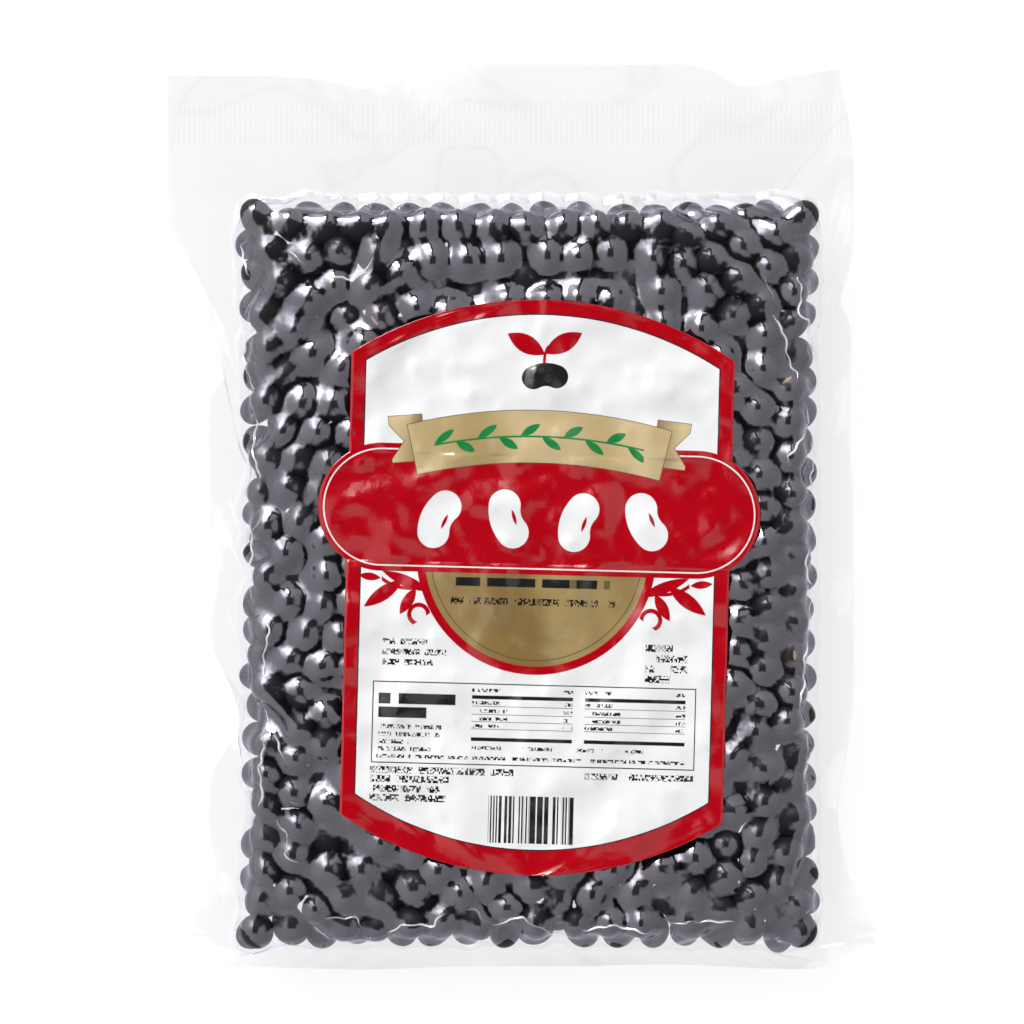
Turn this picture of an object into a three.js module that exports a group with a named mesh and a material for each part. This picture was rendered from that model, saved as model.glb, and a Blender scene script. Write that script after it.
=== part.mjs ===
// A clear vacuum bag of dried black beans with a printed label, lying on its back with the label up.
// Millimetres, +Z up out of the bag's front, +Y towards the open end of the bag, +X to the right of the label.
// The origin is on the surface the bag lies on, at the middle of the bag's outline.
//
// The vacuum has drawn the film onto the beans, so the filled block is a rigid brick with one bump for each
// bean that shows, and the two sheets of film meet in a thin margin all round it.
import * as THREE from "three";

// Size of the bag
const bagWide = 169; // film edge to film edge, at the widest
const bagTall = 213; // film edge to film edge
const packWide = 138; // the block of beans
const packTall = 178;
const packThick = 25;
const packCentre = { x: 1, y: -14 }; // middle of the block of beans, from the middle of the bag
const filmThick = 0.5; // both sheets of the margin together

// Beans
const beanRadius = 4;
const beanVaries = 0.07; // share by which a bean's radius may differ
const beanCount = 1290;
const packingSteps = 160;
const seed = 16;

// Form of the filled block
const sideBulge = 9; // how far the front and back edges of the block lie inside its middle
const faceCrown = 3; // how far the faces fall towards the block's edges
const cornerFlare = 2.2; // how far the corners reach out beyond the sides

// Film drawn over the beans: it falls by filmSag times the distance squared from the top of each bean,
// and beyond filmHold millimetres it turns down the block's side by flankSlope
const filmSag = 0.11;
const filmHold = 4.8;
const flankSlope = 4.5;
const rootReach = 5.3; // from the axis of an outer bean to the line where the two sheets meet
const flankInset = 2.5;

// Margin of film
const aroundStep = 5.1; // spacing of the points round the block
const marginRings = 3;
const headerUp = 8; // how far the loose end waves towards the viewer
const headerDown = 9;
const sideWave = 0.9;
const bottomCurl = 6;

// Label
const labelCentre = { x: 2.9, y: -16.9 };
const labelTurn = THREE.MathUtils.degToRad(-1.5);
const labelHalfWide = 44.6;
const labelHalfTall = 67; // at the crest of its arched top and bottom
const shoulderHigh = 53.8; // where the straight sides meet the arched top and bottom
const bandHalfWide = 51.5; // the rounded band across the label
const bandHalfTall = 14.9;
const bandMiddle = 17.9; // above the label's middle
const labelThick = 0.4;
const labelGap = 0.3;
const labelCrest = 5; // half width of the flat crest of its arches
const labelColumns = 8;
const archRows = 4;
const sideRows = 2;
const bandRows = 8;

const restSpotRadius = 2; // flat spots where the bag rests on beans
const restSpotSides = 6;
const touchGap = 0.02; // a bean this near to the front or back plane touches it

const middle = packThick / 2;
const lerp = THREE.MathUtils.lerp;
const step = THREE.MathUtils.smoothstep;

// One dip or bulge in an edge, tallest at a place and fading over a width
function bump(along, place, tall, wide) {
  return tall * Math.exp(-(((along - place) / wide) ** 2));
}

// Outline of the film, drawn in where the vacuum pulled the margin between the beans
function filmLeft(y) {
  const straight = -bagWide / 2 + 9.6 * (1 - step(y, 50, 72)) - 5.6 * (1 - step(y, -101, -86));
  return (
    straight + bump(y, 35, 3.6, 5) + bump(y, -15, 2, 9) + bump(y, -46, 8.6, 10) + bump(y, -83, 1.2, 5)
  );
}

function filmRight(y) {
  const straight = 78.2 + (bagWide / 2 - 78.2) * (1 - step(y, -103, -84));
  return straight - bump(y, 106, 3.4, 12) - bump(y, 52, 3.4, 6) - bump(y, 25, 1.1, 18) - bump(y, -70, 3.6, 16);
}

function filmTop(x) {
  const straight = bagTall / 2 - 2.4 * (1 - step(x, -45, -14));
  return straight - bump(x, -36, 3.1, 10) - bump(x, 52, 4.9, 8) - bump(x, 64, 2.2, 9);
}

function filmBottom(x) {
  return -bagTall / 2 + 5 * step(Math.abs(x), 66, 84) + bump(x, 20, 0.8, 30);
}

// Half the block's width or height, less towards its faces and more at its corners
function halfSpan(span, along, alongSpan, high) {
  const faceShare = ((high - middle) / middle) ** 2;
  const cornerShare = (Math.abs(along) / (alongSpan / 2)) ** 6;
  return span / 2 - sideBulge * faceShare + cornerFlare * (cornerShare - 0.4);
}

// Height of the block's front face over the middle plane
function faceHeight(x, y) {
  const across = (Math.abs(x) / (packWide / 2)) ** 6;
  const up = (Math.abs(y) / (packTall / 2)) ** 6;
  return middle - faceCrown * Math.min(1, across + up);
}

// Random numbers from 0 to 1, the same on each run
function seededRandom(state) {
  return () => {
    state = (Math.imul(state, 1664525) + 1013904223) >>> 0;
    return state / 4294967296;
  };
}

// Beans packed at random: they start anywhere in the block and push each other apart inside its walls
function packBeans() {
  const random = seededRandom(seed);
  const beans = [];
  for (let i = 0; i < beanCount; i++) {
    beans.push({
      x: (random() - 0.5) * (packWide - 2 * beanRadius),
      y: (random() - 0.5) * (packTall - 2 * beanRadius),
      z: middle + (random() - 0.5) * (packThick - 2 * beanRadius),
      r: beanRadius * (1 + beanVaries * (2 * random() - 1)),
    });
  }
  for (let n = 0; n < packingSteps; n++) {
    const push = beans.map(() => [0, 0, 0]);
    for (let i = 0; i < beanCount; i++) {
      const a = beans[i];
      for (let j = i + 1; j < beanCount; j++) {
        const b = beans[j];
        const dx = a.x - b.x;
        const dy = a.y - b.y;
        const reach = a.r + b.r;
        if (Math.abs(dx) >= reach || Math.abs(dy) >= reach) continue;
        const dz = a.z - b.z;
        const apart = Math.hypot(dx, dy, dz);
        if (apart >= reach || apart === 0) continue;
        const share = (0.4 * (reach - apart)) / apart;
        push[i][0] += dx * share;
        push[i][1] += dy * share;
        push[i][2] += dz * share;
        push[j][0] -= dx * share;
        push[j][1] -= dy * share;
        push[j][2] -= dz * share;
      }
    }
    beans.forEach((bean, i) => {
      bean.x += push[i][0];
      bean.y += push[i][1];
      bean.z += push[i][2];
      const wide = halfSpan(packWide, bean.y, packTall, bean.z) - bean.r;
      const tall = halfSpan(packTall, bean.x, packWide, bean.z) - bean.r;
      bean.x = THREE.MathUtils.clamp(bean.x, -wide, wide);
      bean.y = THREE.MathUtils.clamp(bean.y, -tall, tall);
      const high = faceHeight(bean.x, bean.y) - bean.r;
      bean.z = THREE.MathUtils.clamp(bean.z, middle - high, middle + high);
    });
  }
  for (const bean of beans) {
    bean.x += packCentre.x;
    bean.y += packCentre.y;
  }
  return beans;
}

// Height of the film over the middle plane, on the front (side 1) or the back (side -1)
function filmHeight(beans, side, x, y) {
  let high = filmThick / 2;
  for (const bean of beans) {
    const away = Math.hypot(x - bean.x, y - bean.y);
    if (away > 12) continue;
    const top = side * (bean.z - middle) + bean.r;
    high = Math.max(high, top - filmSag * away ** 2 - flankSlope * Math.max(0, away - filmHold));
  }
  return high > middle - touchGap ? middle : high;
}

// Points round the block where the two sheets meet, with the matching points on the film's outer edge
function marginLoops(beans) {
  const acrossCount = Math.round(packWide / aroundStep);
  const upCount = Math.round(packTall / aroundStep);
  const root = [];
  const outer = [];
  const farthest = (at, along, across, sign) => {
    let far = -Infinity;
    for (const bean of beans) {
      const off = Math.abs(bean[along] - at);
      if (off >= rootReach) continue;
      far = Math.max(far, sign * bean[across] + Math.sqrt(rootReach ** 2 - off ** 2));
    }
    return sign * far;
  };
  const halfWide = packWide / 2 - 1;
  const halfTall = packTall / 2 - 1;
  const addAcross = (share, sign) => {
    const x = packCentre.x + halfWide * share;
    const edgeX = lerp(filmLeft(sign * 100), filmRight(sign * 100), (share + 1) / 2);
    root.push([x, farthest(x, "x", "y", sign)]);
    outer.push([edgeX, sign > 0 ? filmTop(edgeX) : filmBottom(edgeX)]);
  };
  const addUp = (share, sign) => {
    const y = packCentre.y + halfTall * share;
    const edgeY = lerp(filmBottom(sign * 80), filmTop(sign * 75), (share + 1) / 2);
    root.push([farthest(y, "y", "x", sign), y]);
    outer.push([sign > 0 ? filmRight(edgeY) : filmLeft(edgeY), edgeY]);
  };
  for (let i = 1; i < acrossCount; i++) addAcross(-1 + (2 * i) / acrossCount, -1);
  for (let i = 0; i <= upCount; i++) addUp(-1 + (2 * i) / upCount, 1);
  for (let i = 1; i < acrossCount; i++) addAcross(1 - (2 * i) / acrossCount, 1);
  for (let i = 0; i <= upCount; i++) addUp(1 - (2 * i) / upCount, -1);
  return { root, outer };
}

// Height of the margin's middle surface: share 0 at the block, 1 at the film's edge
function marginHeight(x, y, share) {
  const header = step(y, packCentre.y + packTall / 2 - 8, packCentre.y + packTall / 2 + 4);
  const foot = 1 - step(y, packCentre.y - packTall / 2 - 4, packCentre.y - packTall / 2 + 6);
  const wave =
    bump(x, 48, headerUp, 16) - bump(x, -36, headerDown, 20) + bump(x, -4, 5, 16) - bump(x, 74, 4, 12);
  const ripple = sideWave * Math.sin(y / 7 + Math.sign(x));
  const curl = bottomCurl + 1.6 * Math.sin(x / 8);
  return share ** 1.5 * (header * wave + (1 - header) * (1 - foot) * ripple + foot * curl);
}

// Delaunay triangles of flat points, by adding one point at a time
function delaunay(points) {
  const far = 1e4;
  const all = [...points, [-far, -far], [far, -far], [0, far]];
  const count = points.length;
  const withCircle = (a, b, c) => {
    const [ax, ay] = all[a];
    const [bx, by] = [all[b][0] - ax, all[b][1] - ay];
    const [cx, cy] = [all[c][0] - ax, all[c][1] - ay];
    const twice = 2 * (bx * cy - by * cx);
    const ux = (cy * (bx * bx + by * by) - by * (cx * cx + cy * cy)) / twice;
    const uy = (bx * (cx * cx + cy * cy) - cx * (bx * bx + by * by)) / twice;
    return { corners: [a, b, c], x: ax + ux, y: ay + uy, rr: ux * ux + uy * uy };
  };
  let triangles = [withCircle(count, count + 1, count + 2)];
  for (let i = 0; i < count; i++) {
    const [x, y] = all[i];
    const open = new Map();
    const kept = [];
    for (const t of triangles) {
      if ((x - t.x) ** 2 + (y - t.y) ** 2 >= t.rr) {
        kept.push(t);
        continue;
      }
      for (let k = 0; k < 3; k++) {
        const from = t.corners[k];
        const to = t.corners[(k + 1) % 3];
        if (!open.delete(`${to},${from}`)) open.set(`${from},${to}`, [from, to]);
      }
    }
    for (const [from, to] of open.values()) kept.push(withCircle(from, to, i));
    triangles = kept;
  }
  return triangles.map((t) => t.corners).filter((t) => t.every((corner) => corner < count));
}

function insideLoop(loop, x, y) {
  let inside = false;
  for (let i = 0, j = loop.length - 1; i < loop.length; j = i++) {
    const [xi, yi] = loop[i];
    const [xj, yj] = loop[j];
    if (yi > y !== yj > y && x < xi + ((y - yi) / (yj - yi)) * (xj - xi)) inside = !inside;
  }
  return inside;
}

// The loop moved inwards, each point along the bisector of its neighbours
function insetLoop(loop, distance) {
  const count = loop.length;
  return loop.map(([x, y], i) => {
    const before = loop[(i + count - 2) % count];
    const after = loop[(i + 2) % count];
    const dx = after[0] - before[0];
    const dy = after[1] - before[1];
    const long = Math.hypot(dx, dy);
    return [x - (dy / long) * distance, y + (dx / long) * distance];
  });
}

// Distance from a point to the nearest point of a loop
function nearLoop(loop, x, y) {
  return Math.min(...loop.map(([a, b]) => Math.hypot(a - x, b - y)));
}

// Beans whose tops lift the film on one side
function showingBeans(beans, side, flank) {
  return beans.filter((bean) => {
    const top = side * (bean.z - middle) + bean.r;
    if (top < filmHeight(beans, side, bean.x, bean.y) - 0.05) return false;
    return insideLoop(flank, bean.x, bean.y) && nearLoop(flank, bean.x, bean.y) > 2.4;
  });
}

// One sheet over the block: a vertex on each bean that shows, and lower ones between neighbouring beans.
// Where fine is set, the film also dips between each pair of beans and not only between three.
function blockSheet(beans, side, loops, fine) {
  const flank = insetLoop(loops.root, flankInset);
  const showing = showingBeans(beans, side, flank);
  const plan = [...loops.root, ...flank, ...showing.map((bean) => [bean.x, bean.y])];
  const firstBean = loops.root.length + flank.length;
  if (side < 0) plan.push(...restSpots(showing));
  const lastBean = firstBean + showing.length;
  const heights = plan.map(([x, y], i) => {
    if (i < loops.root.length) return filmThick / 2;
    return i < lastBean ? filmHeight(beans, side, x, y) : middle;
  });
  const isBean = (i) => i >= firstBean && i < lastBean;
  const triangles = delaunay(plan).filter((corners) => {
    const x = corners.reduce((sum, i) => sum + plan[i][0], 0) / 3;
    const y = corners.reduce((sum, i) => sum + plan[i][1], 0) / 3;
    return insideLoop(loops.root, x, y);
  });
  const between = new Map();
  const addPoint = (corners) => {
    const key = [...corners].sort((a, b) => a - b).join();
    if (!between.has(key)) {
      const x = corners.reduce((sum, i) => sum + plan[i][0], 0) / corners.length;
      const y = corners.reduce((sum, i) => sum + plan[i][1], 0) / corners.length;
      between.set(key, plan.length);
      plan.push([x, y]);
      heights.push(filmHeight(beans, side, x, y));
    }
    return between.get(key);
  };
  const faces = [];
  for (const corners of triangles) {
    const rim = [];
    for (let k = 0; k < 3; k++) {
      const pair = [corners[k], corners[(k + 1) % 3]];
      rim.push(corners[k]);
      if (fine && pair.every(isBean)) rim.push(addPoint(pair));
    }
    if (corners.every(isBean)) {
      const low = addPoint(corners);
      rim.forEach((from, k) => faces.push([from, rim[(k + 1) % rim.length], low]));
    } else if (rim.length === 3) {
      faces.push(rim);
    } else {
      const split = rim.findIndex((i) => i >= lastBean && !corners.includes(i));
      const at = (k) => rim[(split + k) % rim.length];
      faces.push([at(0), at(1), at(2)], [at(0), at(2), at(3)]);
    }
  }
  return { plan, heights, faces };
}

// Flat spots under five beans that touch the surface: one near the middle and one towards each corner
function restSpots(showing) {
  const touching = showing.filter((bean) => bean.z - bean.r < touchGap);
  const targets = [[0, 0]];
  for (const sx of [-1, 1]) {
    for (const sy of [-1, 1]) targets.push([packCentre.x + sx * 42, packCentre.y + sy * 58]);
  }
  const spots = [];
  for (const [x, y] of targets) {
    const away = (bean) => Math.hypot(bean.x - x, bean.y - y);
    const bean = touching.reduce((best, next) => (away(next) < away(best) ? next : best));
    for (let k = 0; k < restSpotSides; k++) {
      const angle = (2 * Math.PI * k) / restSpotSides;
      spots.push([bean.x + restSpotRadius * Math.cos(angle), bean.y + restSpotRadius * Math.sin(angle)]);
    }
  }
  return spots;
}

// The whole bag as one closed shell: both sheets over the block, both faces of the margin and its outer edge
function bagGeometry(beans) {
  const loops = marginLoops(beans);
  const around = loops.root.length;
  const positions = [];
  const triangles = [];
  const add = (x, y, z) => positions.push(x, y, z) / 3 - 1;
  const edges = [1, -1].map((side) => {
    const sheet = blockSheet(beans, side, loops, side > 0);
    const turn = (face) => (side > 0 ? face : [face[0], face[2], face[1]]);
    const ids = sheet.plan.map(([x, y], i) => add(x, y, middle + side * sheet.heights[i]));
    for (const face of sheet.faces) triangles.push(...turn(face.map((i) => ids[i])));
    let inner = ids.slice(0, around);
    for (let ring = 1; ring <= marginRings; ring++) {
      const share = ring / marginRings;
      const next = loops.root.map(([rootX, rootY], i) => {
        const x = lerp(rootX, loops.outer[i][0], share);
        const y = lerp(rootY, loops.outer[i][1], share);
        return add(x, y, middle + marginHeight(x, y, share) + (side * filmThick) / 2);
      });
      for (let i = 0; i < around; i++) {
        const j = (i + 1) % around;
        triangles.push(...turn([inner[i], next[i], next[j]]), ...turn([inner[i], next[j], inner[j]]));
      }
      inner = next;
    }
    return inner;
  });
  const [front, back] = edges;
  for (let i = 0; i < around; i++) {
    const j = (i + 1) % around;
    triangles.push(front[i], back[i], back[j], front[i], back[j], front[j]);
  }
  const geometry = new THREE.BufferGeometry();
  geometry.setAttribute("position", new THREE.Float32BufferAttribute(positions, 3));
  geometry.setIndex(triangles);
  return geometry;
}

// Half the label's width at a height above its middle
function labelHalfSpan(high) {
  const arcRise = labelHalfTall - shoulderHigh;
  const arcRadius = (labelHalfWide ** 2 + arcRise ** 2) / (2 * arcRise);
  const fromCrest = labelHalfTall - Math.abs(high);
  const arch = Math.sqrt(Math.max(0, arcRadius ** 2 - (arcRadius - fromCrest) ** 2));
  const offBand = Math.abs(high - bandMiddle);
  const round = Math.sqrt(Math.max(0, bandHalfTall ** 2 - offBand ** 2));
  const band = offBand < bandHalfTall ? bandHalfWide - bandHalfTall + round : 0;
  return Math.max(Math.min(labelHalfWide, arch), band);
}

// Heights of the label's rows from its foot to its crest, closer together where its outline is round
function labelHeights() {
  const bandReach = Math.sqrt(bandHalfTall ** 2 - (labelHalfWide - bandHalfWide + bandHalfTall) ** 2);
  const stops = [-shoulderHigh, bandMiddle - bandReach, bandMiddle + bandReach, shoulderHigh];
  const archRise = labelHalfTall - shoulderHigh;
  const heights = [];
  for (let i = 0; i < archRows; i++) heights.push(-labelHalfTall + archRise * (i / archRows) ** 2);
  for (let i = 0; i < sideRows; i++) heights.push(lerp(stops[0], stops[1], i / sideRows));
  for (let i = 0; i < bandRows; i++) {
    heights.push(bandMiddle - bandReach * Math.cos((Math.PI * i) / bandRows));
  }
  for (let i = 0; i < sideRows; i++) heights.push(lerp(stops[2], stops[3], i / sideRows));
  for (let i = archRows; i >= 0; i--) heights.push(labelHalfTall - archRise * (i / archRows) ** 2);
  return heights;
}

// The label: a thin sheet that lies over the tops of the beans, in rows from its foot to its crest
function labelGeometry() {
  const positions = [];
  const triangles = [];
  const add = (x, y, z) => positions.push(x, y, z) / 3 - 1;
  const heights = labelHeights();
  const lastRow = heights.length - 1;
  const layer = (lift) =>
    heights.map((high) => {
      const half = Math.max(labelHalfSpan(high), labelCrest);
      const ids = [];
      for (let column = 0; column <= labelColumns; column++) {
        const across = half * (-1 + (2 * column) / labelColumns);
        const x = labelCentre.x + across * Math.cos(labelTurn) - high * Math.sin(labelTurn);
        const y = labelCentre.y + across * Math.sin(labelTurn) + high * Math.cos(labelTurn);
        const face = middle + faceHeight(x - packCentre.x, y - packCentre.y);
        ids.push(add(x, y, face + labelGap + lift));
      }
      return ids;
    });
  const under = layer(0);
  const over = layer(labelThick);
  const quad = (a, b, c, d) => triangles.push(a, b, c, a, c, d);
  for (let row = 0; row < lastRow; row++) {
    for (let k = 0; k < labelColumns; k++) {
      quad(over[row][k], over[row][k + 1], over[row + 1][k + 1], over[row + 1][k]);
      quad(under[row][k], under[row + 1][k], under[row + 1][k + 1], under[row][k + 1]);
    }
    quad(over[row][0], over[row + 1][0], under[row + 1][0], under[row][0]);
    const k = labelColumns;
    quad(over[row][k], under[row][k], under[row + 1][k], over[row + 1][k]);
  }
  for (let k = 0; k < labelColumns; k++) {
    quad(over[0][k], under[0][k], under[0][k + 1], over[0][k + 1]);
    quad(over[lastRow][k], over[lastRow][k + 1], under[lastRow][k + 1], under[lastRow][k]);
  }
  const geometry = new THREE.BufferGeometry();
  geometry.setAttribute("position", new THREE.Float32BufferAttribute(positions, 3));
  geometry.setIndex(triangles);
  return geometry;
}

const filledFilm = new THREE.MeshStandardMaterial({ color: 0x2b2b30, roughness: 0.15, metalness: 0 });
const printedPaper = new THREE.MeshStandardMaterial({ color: 0xc4141c, roughness: 0.35, metalness: 0 });

const bag = new THREE.Mesh(bagGeometry(packBeans()), filledFilm);
bag.name = "bag";

const label = new THREE.Mesh(labelGeometry(), printedPaper);
label.name = "label";

const group = new THREE.Group();
group.add(bag, label);

export default group;
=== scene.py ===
# A clear vacuum bag of dried black beans with a printed label, lying on its back.
import math
from concurrent.futures import ThreadPoolExecutor

import bpy
import numpy as np
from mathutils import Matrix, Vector
from mathutils.bvhtree import BVHTree
from mathutils.kdtree import KDTree


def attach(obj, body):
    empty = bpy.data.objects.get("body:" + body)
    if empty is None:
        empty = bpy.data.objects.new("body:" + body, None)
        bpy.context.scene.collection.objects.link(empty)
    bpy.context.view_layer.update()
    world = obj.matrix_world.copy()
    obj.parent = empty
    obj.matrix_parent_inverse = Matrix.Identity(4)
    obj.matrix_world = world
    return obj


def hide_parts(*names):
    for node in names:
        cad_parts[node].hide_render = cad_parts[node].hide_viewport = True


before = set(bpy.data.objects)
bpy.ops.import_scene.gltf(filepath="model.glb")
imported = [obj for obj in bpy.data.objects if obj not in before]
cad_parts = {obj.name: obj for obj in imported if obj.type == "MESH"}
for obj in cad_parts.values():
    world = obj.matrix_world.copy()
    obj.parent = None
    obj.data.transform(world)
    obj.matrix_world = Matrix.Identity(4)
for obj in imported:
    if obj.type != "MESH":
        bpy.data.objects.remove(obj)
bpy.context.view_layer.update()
millimetre = 0.001

# Everything up to the meshes is in millimetres, as in the solids: z 0 is the surface the bag lies on
pack = {
    "wide": 138.0,
    "tall": 178.0,
    "thick": 25.0,
    "centreX": 1.0,
    "centreY": -14.0,
    "sideBulge": 9.0,     # how far the block's front and back edges lie inside its middle
    "faceCrown": 3.0,
    "cornerFlare": 2.2,
    "beanRadius": 4.0,
    "beanVaries": 0.07,
    "beanCount": 1290,
    "steps": 160,
    "fastSteps": 30,
    "push": 0.4,          # share of an overlap that one step takes out
    "seed": 16,
}
middle = pack["thick"] / 2


def halfSpan(span, along, alongSpan, high):
    faceShare = ((high - middle) / middle) ** 2
    cornerShare = (np.abs(along) / (alongSpan / 2)) ** 6
    return span / 2 - pack["sideBulge"] * faceShare + pack["cornerFlare"] * (cornerShare - 0.4)


def faceHeight(x, y):  # over the middle plane, from the block's own centre
    across = (np.abs(x) / (pack["wide"] / 2)) ** 6
    up = (np.abs(y) / (pack["tall"] / 2)) ** 6
    return middle - pack["faceCrown"] * np.minimum(1, across + up)


def randomDraws(state, count):
    draws = np.empty(count)
    for i in range(count):
        state = (state * 1664525 + 1013904223) & 0xFFFFFFFF
        draws[i] = state / 4294967296
    return draws


def packBeans():  # the same beans as in the solids: they start anywhere and push each other apart
    count = pack["beanCount"]
    radius = pack["beanRadius"]
    draws = randomDraws(pack["seed"], count * 4).reshape(count, 4)
    place = np.empty((count, 3))
    place[:, 0] = (draws[:, 0] - 0.5) * (pack["wide"] - 2 * radius)
    place[:, 1] = (draws[:, 1] - 0.5) * (pack["tall"] - 2 * radius)
    place[:, 2] = middle + (draws[:, 2] - 0.5) * (pack["thick"] - 2 * radius)
    radii = radius * (1 + pack["beanVaries"] * (2 * draws[:, 3] - 1))
    for n in range(pack["steps"]):
        isFast = n < pack["fastSteps"]  # they move fast at first
        if isFast or n % 5 == 0:
            reach = 2.2 * radius if isFast else 3 * radius
            near = np.abs(place[:, None, 0] - place[None, :, 0]) < reach
            i, j = np.nonzero(np.triu(near, 1))
            close = ((place[i] - place[j]) ** 2).sum(1) < reach ** 2
            i, j = i[close], j[close]
        apart = place[i] - place[j]
        distance = np.linalg.norm(apart, axis=1)
        overlap = np.maximum(0, radii[i] + radii[j] - distance)
        shift = (pack["push"] * overlap / np.maximum(distance, 1e-9))[:, None] * apart
        push = np.zeros_like(place)
        np.add.at(push, i, shift)
        np.add.at(push, j, -shift)
        place += push
        wide = halfSpan(pack["wide"], place[:, 1], pack["tall"], place[:, 2]) - radii
        tall = halfSpan(pack["tall"], place[:, 0], pack["wide"], place[:, 2]) - radii
        place[:, 0] = np.clip(place[:, 0], -wide, wide)
        place[:, 1] = np.clip(place[:, 1], -tall, tall)
        high = faceHeight(place[:, 0], place[:, 1]) - radii
        place[:, 2] = np.clip(place[:, 2], middle - high, middle + high)
    return place + [pack["centreX"], pack["centreY"], 0], radii


beanShape = {
    "long": 1.13, "wide": 1.0, "flat": 0.9,
    "varies": 0.03,
    "dent": 0.12,
    "seed": 4,
    "shadeSeed": 3,
    "outerDepth": 8.0,    # beans nearer than this to the block's outside have more faces
}


def turnMatrices(angles):  # rotation matrices from XYZ Euler angles, as Blender turns an instance
    cx, cy, cz = np.cos(angles).T
    sx, sy, sz = np.sin(angles).T
    rows = [
        [cy * cz, sx * sy * cz - cx * sz, cx * sy * cz + sx * sz],
        [cy * sz, sx * sy * sz + cx * cz, cx * sy * sz - sx * cz],
        [-sy, sx * cy, cx * cy],
    ]
    return np.moveaxis(np.array(rows), 2, 0)


def turnBeans(place, radii):
    random = np.random.default_rng(beanShape["seed"])
    angles = random.uniform(-math.pi, math.pi, (len(place), 3))
    varied = random.normal(1, beanShape["varies"], (len(place), 3))
    half = radii[:, None] * np.array([beanShape["long"], beanShape["wide"], beanShape["flat"]]) * varied
    turn = turnMatrices(angles)
    tall = np.sqrt(((turn[:, 2, :] * half) ** 2).sum(1))  # half height of the turned bean
    place[:, 2] = np.clip(place[:, 2], tall, pack["thick"] - tall)
    return angles, half, turn


print("beans: packing")
beanPlace, beanRadii = packBeans()
beanAngles, beanHalf, beanTurn = turnBeans(beanPlace, beanRadii)

film = {
    "columns": 224,
    "rows": 284,
    "levels": 3,            # each twice as fine as the one before
    "steps": [900, 500, 400],
    "slackWide": 1.022,     # more of the sheet than its way over the block needs
    "slackTall": 1.012,
    "slackVaries": 0.02,
    "patch": 26.0,          # size of the looser and tighter patches
    "seed": 8,
    "rootReach": 5.3,       # from an outer bean's middle to where the two sheets meet
    "gap": 0.12,            # half the thickness of the margin
    "cornersLow": -101.5,   # heights of the margin's corners
    "cornerLeft": 104.1,
    "cornerRight": 105.8,
    "sideSeal": 0.8,        # how well the two sheets stick together: 1 is the loose end at the top
    "looseEnd": (72, 78),
    "clear": 0.1,           # between the film and a bean
    "start": 1.3,           # how far off the block the sheet starts
    "stretch": 0.3,
    "squeeze": 0.5,         # share of that stiffness against being pushed together
    "bend": 0.06,
    "pressure": 0.0015,
    "pressureVaries": 0.55,
    "keep": 0.95,           # share of its speed that the sheet keeps each step
    "stepLimit": 0.4,
    "finePitch": 0.7,       # between points, where the forces are as given
    "lookEvery": 12,        # steps from one search for near beans to the next
    "lookReach": 6.2,
    "calm": 0.09,           # roughness from one point to the next that is smoothed out
    "calmWall": 0.02,       # the same low on the sides, where the sheet is pushed together
    "calmPasses": 14,
    "rings": 18,
    "creaseFrom": 0.11,     # height of a point over its neighbours where the painted crease glint starts
}


def smoothStep(value, low, high):
    share = np.clip((value - low) / (high - low), 0, 1)
    return share * share * (3 - 2 * share)


def bumps(along, *shapes):  # the sum of round bumps: place, height and width of each
    return sum(tall * np.exp(-(((along - place) / wide) ** 2)) for place, tall, wide in shapes)


def filmLeft(y):
    straight = -84.5 + 9.6 * (1 - smoothStep(y, 50, 72)) - 5.6 * (1 - smoothStep(y, -101, -86))
    return straight + bumps(y, (35, 3.6, 5), (-15, 2, 9), (-46, 8.6, 10), (-83, 1.2, 5))


def filmRight(y):
    straight = 78.2 + 6.3 * (1 - smoothStep(y, -103, -84))
    return straight - bumps(y, (106, 3.4, 12), (52, 3.4, 6), (25, 1.1, 18), (-70, 3.6, 16))


def filmTop(x):
    straight = 106.5 - 2.4 * (1 - smoothStep(x, -45, -14))
    return straight - bumps(x, (-36, 3.1, 10), (52, 4.9, 8), (64, 2.2, 9))


def filmBottom(x):
    return -106.5 + 5 * smoothStep(np.abs(x), 66, 84) + bumps(x, (20, 0.8, 30))


def marginHeight(x, y, share):  # of the margin over the middle plane: share 0 at the block, 1 at the edge
    top = pack["centreY"] + pack["tall"] / 2
    low = pack["centreY"] - pack["tall"] / 2
    header = smoothStep(y, top - 8, top + 4)
    foot = 1 - smoothStep(y, low - 4, low + 6)
    wave = bumps(x, (48, 3.2, 18), (-36, -3.2, 22), (-4, 2, 16), (74, -1.6, 12))
    ripple = 0.9 * np.sin(y / 7 + np.sign(x))
    curl = 6 + 1.6 * np.sin(x / 8)
    return share ** 1.5 * (header * wave + (1 - header) * (1 - foot) * ripple + foot * curl)


def boundaryShares(columns, rows):  # round the sheet from its lower left corner, -1 to 1 each way
    across = np.linspace(-1, 1, columns + 1)
    up = np.linspace(-1, 1, rows + 1)
    x = np.concatenate([across[:-1], np.ones(rows), across[:0:-1], -np.ones(rows)])
    y = np.concatenate([-np.ones(columns), up[:-1], np.ones(columns), up[:0:-1]])
    return x, y


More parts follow.
